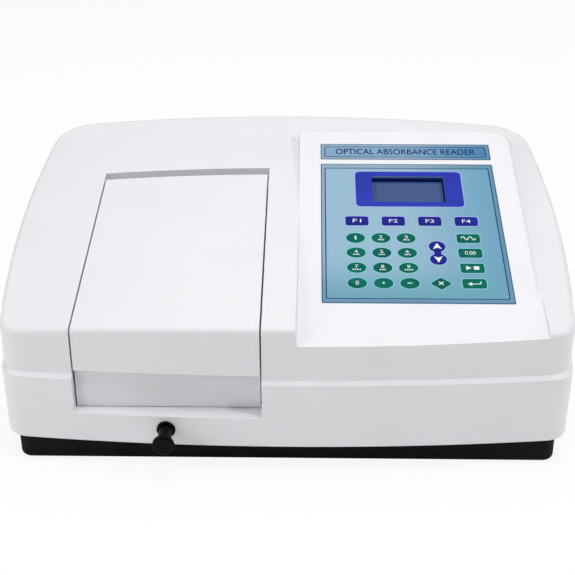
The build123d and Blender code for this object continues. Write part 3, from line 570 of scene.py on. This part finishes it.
def key_halos():
    """Pale printed edges round the keys, and the blue waist that joins the arrow keys."""
    top = console_box("membrane_overlay")[2]
    for node in keys_like("key_", "up_key", "down_key"):
        x, s, _ = console_box(node)
        cx, cs, _ = middle_of(node)
        a, b = (x[1] - x[0]) / 2 + KEY_GAP, (s[1] - s[0]) / 2 + KEY_GAP
        outer, inner = oval(cx, cs, a + HALO_WIDTH, b + HALO_WIDTH), oval(cx, cs, a, b)
        ink = "ink_mint" if node.startswith("key_") else "ink_lilac"
        console_band(f"{node}_halo", outer, inner, top, top + INK_DEPTH, ink)
    for node in keys_like("function_key", "command_key"):
        x, s, _ = console_box(node)
        inner = shrink(x, s, [-KEY_GAP] * 4, 2.25 * MM)
        outer = shrink(x, s, [-KEY_GAP - HALO_WIDTH] * 4, 2.9 * MM)
        ink = "ink_lilac" if node.startswith("function") else "ink_mint"
        console_band(f"{node}_halo", outer, inner, top, top + INK_DEPTH, ink)
    x, s, _ = console_box("escape_key")
    cx, cs, _ = middle_of("escape_key")
    a, b = (x[1] - x[0]) / 2 + 1.2 * MM, (s[1] - s[0]) / 2 + 1.0 * MM
    outer, inner = ([(cx + k * a, cs), (cx, cs + k * b), (cx - k * a, cs), (cx, cs - k * b)]
                    for k in (1.1, 1.0))
    console_band("escape_key_halo", outer, inner, top, top + INK_DEPTH, "ink_mint")
    arrow_waist(top)


def arrow_waist(top):
    """Blue print between the two arrow keys, hollowed on both sides, with its pale edges."""
    x, high, _ = middle_of("up_key")
    low = middle_of("down_key")[1]
    left_end, right_end = console_box("up_key")[0]
    radius = (right_end - left_end) / 2 + KEY_GAP
    middle, reach_s = (high + low) / 2, 4.6 * MM
    narrow, wide = 2.9 * MM, 4.4 * MM       # half widths of the waist at its middle and its ends
    arc = (2.5 * MM, 0.0, -2.5 * MM)        # where the ends follow the round keys

    def side(grow):
        steps = [i / 8 - 1 for i in range(17)]
        return [(x + narrow + grow + (wide - narrow) * t * t, middle + reach_s * t) for t in steps]

    def inside_keys(px, ps):
        return min(math.hypot(px - x, ps - high), math.hypot(px - x, ps - low)) < radius

    lower = [(x - px, low + math.sqrt(radius ** 2 - px ** 2)) for px in arc]
    upper = [(x + px, high - math.sqrt(radius ** 2 - px ** 2)) for px in arc]
    for name, grow, lift, ink in (("edge", 0.7 * MM, 0.9, "ink_lilac"), ("print", 0.0, 1.1, "ink_blue")):
        right = [point for point in side(grow) if not inside_keys(*point)]
        left = [(2 * x - px, ps) for px, ps in reversed(right)]
        waist = bmesh.new()
        prism(waist, on_console, right + upper + left + lower, top, top + lift * INK_DEPTH)
        piece(f"arrow_waist_{name}", waist, ink, "chassis")


FIGURE_TALL, SMALL_FIGURE_TALL = 4.8 * MM, 3.9 * MM     # without and with marks under the figure
FIGURE_WIDE, ONE_WIDE = 2.7 * MM, 1.3 * MM
WORD_TALL = 4.6 * MM
MARKED_DIGITS = "23456789"
MARKS = {"7": 4, "9": 4}        # three under the other marked digits
MARK_PITCH, MARK_HALF = 1.9 * MM, 0.65 * MM


def key_labels():
    """White figures on the keys and the marks under them; each rides on its own key."""
    for digit in "0123456789":
        node = f"key_{digit}"
        x, s, top = middle_of(node)
        marks = MARKS.get(digit, 3) if digit in MARKED_DIGITS else 0
        lift = 1.3 * MM if marks else 0.0
        size = ONE_WIDE if digit == "1" else FIGURE_WIDE, SMALL_FIGURE_TALL if marks else FIGURE_TALL
        lettering(f"{node}_figure", digit, (x, s + lift), top, size, "ink_white", node)
        if marks:
            row = bmesh.new()
            for i in range(marks):
                at = x + (i - (marks - 1) / 2) * MARK_PITCH
                mark_x, mark_s = (at - MARK_HALF, at + MARK_HALF), (s - 3.3 * MM, s - 1.9 * MM)
                prism(row, on_console, rounded_box(mark_x, mark_s, 0.3 * MM, 3), top, top + INK_DEPTH)
            piece(f"{node}_marks", row, "ink_white", node)
    for i in range(1, 5):
        key_word(f"function_key_{i}", f"F{i}", 7.2 * MM)


def key_word(node, text, wide):
    """White letters in the middle of a key."""
    x, s, top = middle_of(node)
    lettering(f"{node}_figure", text, (x, s), top, (wide, WORD_TALL), "ink_white", node)


def key_sign(node, *outlines):
    """White sign on a key from outlines in millimetres about the key's middle."""
    x, s, top = middle_of(node)
    sign = bmesh.new()
    for outline in outlines:
        prism(sign, on_console, [(x + px * MM, s + ps * MM) for px, ps in outline], top, top + INK_DEPTH)
    piece(f"{node}_sign", sign, "ink_white", node)


def key_signs():
    """Point, minus, arrowheads, escape cross and the four commands."""
    line = 0.9
    head = [(0, 4.3), (3.7, -3.6), (0, -1.7), (-3.7, -3.6)]
    wave = [(t * 0.55 - 6.05, 2.1 * math.sin(t * math.pi / 5.5)) for t in range(23)]
    key_sign("key_point", oval(0, 0, 0.95, 0.95, 24))
    key_sign("key_minus", rounded_box((-1.9, 1.9), (-0.5, 0.5), 0.3, 3))
    key_sign("up_key", head)
    key_sign("down_key", [(px, -ps) for px, ps in head[::-1]])
    key_sign(
        "escape_key", stroke([(-1.9, -1.9), (1.9, 1.9)], line),
        stroke([(-1.9, 1.9), (-0.45, 0.45)], line), stroke([(0.45, -0.45), (1.9, -1.9)], line),
    )
    key_sign("command_key_4", stroke(wave, 0.85))
    key_word("command_key_3", "0.00", 9.0 * MM)
    key_sign(
        "command_key_2", [(-5.2, -2.6), (-0.9, 0), (-5.2, 2.6)],
        rounded_box((1.0, 5.4), (-2.2, 2.2), 0.3, 3),
    )
    key_sign(
        "command_key_1", stroke([(5.0, 2.4), (5.0, -0.6), (-2.6, -0.6)], line),
        [(-2.2, -2.9), (-2.2, 1.7), (-5.6, -0.6)],
    )


# ---- Foam ----

SEAL_WIDTH, SEAL_CORNER = 5.0 * MM, 3.0 * MM
SEAL_RIPPLE, SEAL_RIPPLE_RATE = 0.12 * MM, 800      # depth, and radians per metre of x + y
LINER_CELLS = (44, 66)              # across and along
LINER_INSET, LINER_DIMPLE, DIMPLE_SIZE = 0.4 * MM, 0.16 * MM, 1.6 * MM
TUCK_ROWS, TUCK_SHARE = 3, 0.4      # cells taken by the soft edge, and the share each face closes by
FOAM_SKIN = 0.02 * MM               # kept between the foam and the CAD shape it stands for


def smooth_foam(name, made, body, node):
    """Smooth padded foam piece that stands for a CAD node."""
    foam = piece(name, made, "foam_black", body)
    for face in foam.data.polygons:
        face.use_smooth = True
    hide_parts(node)


def fuller(value, power):
    """A sine or cosine pushed towards one, so that a round section becomes squarer."""
    return math.copysign(abs(value) ** power, value)


def foam_seal():
    """Foam light seal on the chamber's flange: a ring with a rounded section and a rippled top."""
    low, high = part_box("chamber_seal")
    tall, steps = high.z - low.z, 14
    made = bmesh.new()
    rings = []
    for i in range(steps):
        turn = math.pi * 2 * i / steps
        inset = SEAL_WIDTH / 2 * (1 - fuller(math.cos(turn), 0.6))
        inset = min(max(inset, FOAM_SKIN), SEAL_WIDTH - FOAM_SKIN)
        lift = tall * (0.5 + 0.49 * fuller(math.sin(turn), 0.7))
        across, along = (low.x + inset, high.x - inset), (low.y + inset, high.y - inset)
        ring = []
        for x, y in rounded_box(across, along, SEAL_CORNER, 5):
            ripple = SEAL_RIPPLE * math.sin(SEAL_RIPPLE_RATE * (x + y)) if lift > tall / 2 else 0.0
            ring.append(made.verts.new((x, y, low.z + max(0.0, min(tall, lift + ripple)))))
        rings.append(ring)
    skin(made, rings + rings[:1])
    smooth_foam("foam_seal", made, "chassis", "chamber_seal")


def foam_liner():
    """Foam sheet under the lid's top: it follows the lid's crown, with soft edges and a dimpled face."""
    low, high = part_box("lid_liner")
    tree = BVHTree.FromObject(nodes["lid_liner"], bpy.context.evaluated_depsgraph_get())
    across, along = LINER_CELLS
    above, below = 1.0, 0.0     # heights over and under the whole instrument
    made = bmesh.new()
    upper, lower = [], []
    for j in range(along + 1):
        upper.append([])
        lower.append([])
        for i in range(across + 1):
            x = low.x + LINER_INSET + (high.x - low.x - 2 * LINER_INSET) * i / across
            y = low.y + LINER_INSET + (high.y - low.y - 2 * LINER_INSET) * j / along
            top = tree.ray_cast(Vector((x, y, above)), Vector((0, 0, -1)))[0].z
            bottom = tree.ray_cast(Vector((x, y, below)), Vector((0, 0, 1)))[0].z
            edge = min(i, across - i, j, along - j)
            tuck = (1 - min(edge, TUCK_ROWS) / TUCK_ROWS) ** 2 * TUCK_SHARE * (top - bottom)
            wave = math.sin(x / DIMPLE_SIZE) * math.sin(y / DIMPLE_SIZE)
            dimple = LINER_DIMPLE * (1 + wave) if edge else 0.0
            upper[j].append(made.verts.new((x, y, top - FOAM_SKIN - tuck)))
            lower[j].append(made.verts.new((x, y, bottom + tuck + dimple)))
    for j in range(along):
        for i in range(across):
            made.faces.new((upper[j][i], upper[j][i + 1], upper[j + 1][i + 1], upper[j + 1][i]))
            made.faces.new((lower[j][i], lower[j + 1][i], lower[j + 1][i + 1], lower[j][i + 1]))
    rim = [(0, i) for i in range(across)] + [(j, across) for j in range(along)]
    rim += [(along, i) for i in range(across, 0, -1)] + [(j, 0) for j in range(along, 0, -1)]
    skin(made, [[sheet[j][i] for j, i in rim] for sheet in (upper, lower)])
    smooth_foam("foam_liner", made, "lid", "lid_liner")


# ---- Sample compartment ----

POCKETS = 4
POCKET_MARGIN = 12.0 * MM           # from each end of the carriage to its first and last pocket
POCKET_HALF = 6.35 * MM
MARK_OUT = 10.6 * MM                # from a pocket's middle to its figure and its dot
CELL_FIGURE_SIZE, CELL_DOT_SIZE = (2.2 * MM, 4.2 * MM), (1.4 * MM, 1.4 * MM)
SPRING_THICK, SPRING_HALF_WIDE, SPRING_BOW = 0.25 * MM, 2.5 * MM, 1.1 * MM
SPRING_FOOT, SPRING_TALL, SPRING_STEPS = -24.0 * MM, 23.6 * MM, 12


def cell_holder_details():
    """Figures beside the four pockets, and the leaf spring in each."""
    low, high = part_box("cell_carriage")
    x = (low.x + high.x) / 2
    pitch = (high.y - low.y - 2 * POCKET_MARGIN) / (POCKETS - 1)
    for n in range(POCKETS):
        y = low.y + POCKET_MARGIN + n * pitch
        face = on_plane((x, y, high.z), (1, 0, 0), (0, 1, 0))
        for name, text, out, size in (
            ("figure", str(n + 1), MARK_OUT, CELL_FIGURE_SIZE), ("dot", ".", -MARK_OUT, CELL_DOT_SIZE),
        ):
            lettering(f"cell_{name}_{n + 1}", text, (out, 0.0), 0.0, size, "ink_white", "cell_changer", face)
        side = on_plane((x, y, high.z), (0, 1, 0), (0, 0, 1))
        shares = [k / SPRING_STEPS for k in range(SPRING_STEPS + 1)]
        bow = [(POCKET_HALF - 0.15 * MM - SPRING_BOW * math.sin(math.pi * t), SPRING_FOOT + SPRING_TALL * t)
               for t in shares]
        spring = bmesh.new()
        prism(spring, side, stroke(bow, SPRING_THICK), -SPRING_HALF_WIDE, SPRING_HALF_WIDE)
        piece(f"cell_spring_{n + 1}", spring, "nickel", "cell_changer")


# ---- Screws, pins and the rear panel ----

HEAD_TALL, HEAD_FALL = 0.55, 0.75               # a screw head's height, and how steeply it falls to its rim
CROSS_DEPTH, CROSS_HALF, CROSS_REACH = 0.3, 0.13, 0.64      # all five are shares of its radius
PANEL_SCREW_RADIUS, BASE_SCREW_RADIUS = 2.7 * MM, 3.9 * MM
PIN_PITCH, PIN_ROW_PITCH = 2.77 * MM, 2.84 * MM
POST_PROFILE = [(0, 1.0), (1.0, 1.0), (1.0, 2.0), (1.7, 2.0), (2.1, 1.6), (2.1, 0), (0, 0)]    # mm
PIN_PROFILE = [(0, 6.0), (0.3, 5.8), (0.5, 5.2), (0.5, 0), (0, 0)]                             # mm
BLADE_PLACES = ((-7, 4.5), (0, 7.5), (7, 4.5))                          # mm from the inlet's middle
BLADE_SECTIONS = ((2.1, 1.1, 0.0), (2.1, 1.1, 14.6), (1.5, 0.5, 15.2))  # half sizes and height, mm


def screw_head(name, centre, out, radius, turn):
    """Pan-head screw with a cross recess, facing along out."""
    out = Vector(out).normalized()
    across = out.orthogonal().normalized()
    place = on_plane(centre, across, out.cross(across))
    rings, sides = 14, 64
    angles = [2 * math.pi * i / sides for i in range(sides)]
    made = bmesh.new()
    lines = [[made.verts.new(place(0, 0, (HEAD_TALL - CROSS_DEPTH) * radius))] * sides]
    for k in range(1, rings + 1):
        share = k / rings
        dome = HEAD_TALL * math.sqrt(1 - HEAD_FALL * share * share)
        line = []
        for angle in angles:
            x, y = share * math.cos(angle - turn), share * math.sin(angle - turn)
            in_cross = min(abs(x), abs(y)) < CROSS_HALF and share < CROSS_REACH
            line.append(made.verts.new(place(
                radius * share * math.cos(angle), radius * share * math.sin(angle),
                radius * (dome - (CROSS_DEPTH if in_cross else 0.0)),
            )))
        lines.append(line)
    lines.append([made.verts.new(place(radius * math.cos(a), radius * math.sin(a), 0)) for a in angles])
    skin(made, lines)
    made.faces.new(lines[-1][::-1])
    piece(name, made, "screw_steel", "chassis")


def rear_details():
    """Screws of the rear panel and its fan, and the posts and pins of the two computer ports."""
    low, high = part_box("rear_panel")
    ports_low, ports_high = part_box("data_ports")
    inlet_low, inlet_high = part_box("mains_inlet")
    fan_low, fan_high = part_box("fan_frame")
    back = low.y + 1.5 * MM
    in_x, in_z, in_fan = 11 * MM, 9 * MM, 4.5 * MM      # from the panel's and the fan's edges to their screws
    spots = [(x, z) for x in (low.x + in_x, high.x - in_x) for z in (low.z + in_z, high.z - in_z)]
    fan_x, fan_z = (fan_low.x + fan_high.x) / 2, (fan_low.z + fan_high.z) / 2
    reach_fan = (fan_high.x - fan_low.x) / 2 - in_fan
    spots += [(fan_x + a * reach_fan, fan_z + b * reach_fan) for a in (-1, 1) for b in (-1, 1)]
    for n, (x, z) in enumerate(spots):
        screw_head(f"panel_screw_{n + 1}", (x, back, z), (0, 1, 0), PANEL_SCREW_RADIUS, 0.5 * n)
    ports_z = (inlet_low.z + inlet_high.z) / 2
    port_pins("serial", ports_low.x + 14 * MM, ports_z, 9 * MM, (5, 4), back)
    port_pins("printer", ports_high.x - 24 * MM, ports_z, 19 * MM, (13, 12), back)


def port_pins(port, x, z, half, rows, back):
    """Two hexagonal posts beside a computer port, and its gold pins."""
    for side, hand in ((-1, "left"), (1, "right")):
        post = bmesh.new()
        place = on_plane((x + side * (half + 2.7 * MM), back + 0.8 * MM, z), (0, 0, 1), (1, 0, 0))
        lathe(post, place, [(radius * MM, height * MM) for radius, height in POST_PROFILE], 6)
        piece(f"{port}_post_{hand}", post, "nickel", "chassis")
    for row, count in enumerate(rows):
        for n in range(count):
            pin = bmesh.new()
            pin_x, pin_z = x + (n - (count - 1) / 2) * PIN_PITCH, z + (0.5 - row) * PIN_ROW_PITCH
            place = on_plane((pin_x, back - 5 * MM, pin_z), (0, 0, 1), (1, 0, 0))
            lathe(pin, place, [(radius * MM, height * MM) for radius, height in PIN_PROFILE], 12)
            piece(f"{port}_pin_{row + 1}_{n + 1}", pin, "brass", "chassis")


def inlet_blades():
    """Bright chamfered blades over the inlet's three pins."""
    low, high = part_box("mains_inlet")
    x, z, foot = (low.x + high.x) / 2, (low.z + high.z) / 2, high.y - 18 * MM
    for n, (dx, dz) in enumerate(BLADE_PLACES):
        blade = bmesh.new()
        place = on_plane((x + dx * MM, foot, z + dz * MM), (0, 0, 1), (1, 0, 0))
        rings = [
            [blade.verts.new(place(a * half_a * MM, b * half_b * MM, height * MM))
             for a, b in ((1, 1), (-1, 1), (-1, -1), (1, -1))]
            for half_a, half_b, height in BLADE_SECTIONS
        ]
        skin(blade, rings)
        blade.faces.new(rings[0][::-1])
        blade.faces.new(rings[-1])
        piece(f"inlet_blade_{n + 1}", blade, "nickel", "chassis")


def switch_marks():
    """White line and ring on the two halves of the power rocker."""
    low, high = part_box("power_rocker")
    x, z = (low.x + high.x) / 2, (low.z + high.z) / 2
    top, middle, bottom = high.y, high.y - 2.0 * MM, high.y - 2.2 * MM
    off_middle, slope_run = 5 * MM, 10 * MM
    upper = on_plane((x, (top + middle) / 2, z + off_middle), (-1, 0, 0), (0, top - middle, slope_run))
    line = bmesh.new()
    prism(line, upper, rounded_box((-0.4 * MM, 0.4 * MM), (-2.6 * MM, 2.6 * MM), 0.3 * MM, 3), 0, INK_DEPTH)
    piece("switch_on_mark", line, "ink_white", "power_rocker")
    lower = on_plane((x, (middle + bottom) / 2, z - off_middle), (-1, 0, 0), (0, middle - bottom, slope_run))
    ring = bmesh.new()
    band(ring, lower, oval(0, 0, 2.3 * MM, 2.3 * MM), oval(0, 0, 1.6 * MM, 1.6 * MM), 0, INK_DEPTH)
    piece("switch_off_mark", ring, "ink_white", "power_rocker")


def underside_screws():
    """Cross-head screws in the four counterbores under the tray."""
    low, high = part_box("cover_screws")
    reach_in, z = 4.0 * MM, low.z + 0.05 * MM
    columns, rows = (low.x + reach_in, high.x - reach_in), (low.y + reach_in, high.y - reach_in)
    for n, (x, y) in enumerate((x, y) for x in columns for y in rows):
        screw_head(f"base_screw_{n + 1}", (x, y, z), (0, 0, -1), BASE_SCREW_RADIUS, 0.7 * n)


make_camera()
make_lights()
make_world()
make_floor()
paint_cad()
title_print()
frame_print("membrane_overlay", OVERLAY_MARGINS, 0.9 * MM)
display_print()
display_film()
key_halos()
key_labels()
key_signs()
foam_seal()
foam_liner()
cell_holder_details()
rear_details()
inlet_blades()
switch_marks()
underside_screws()
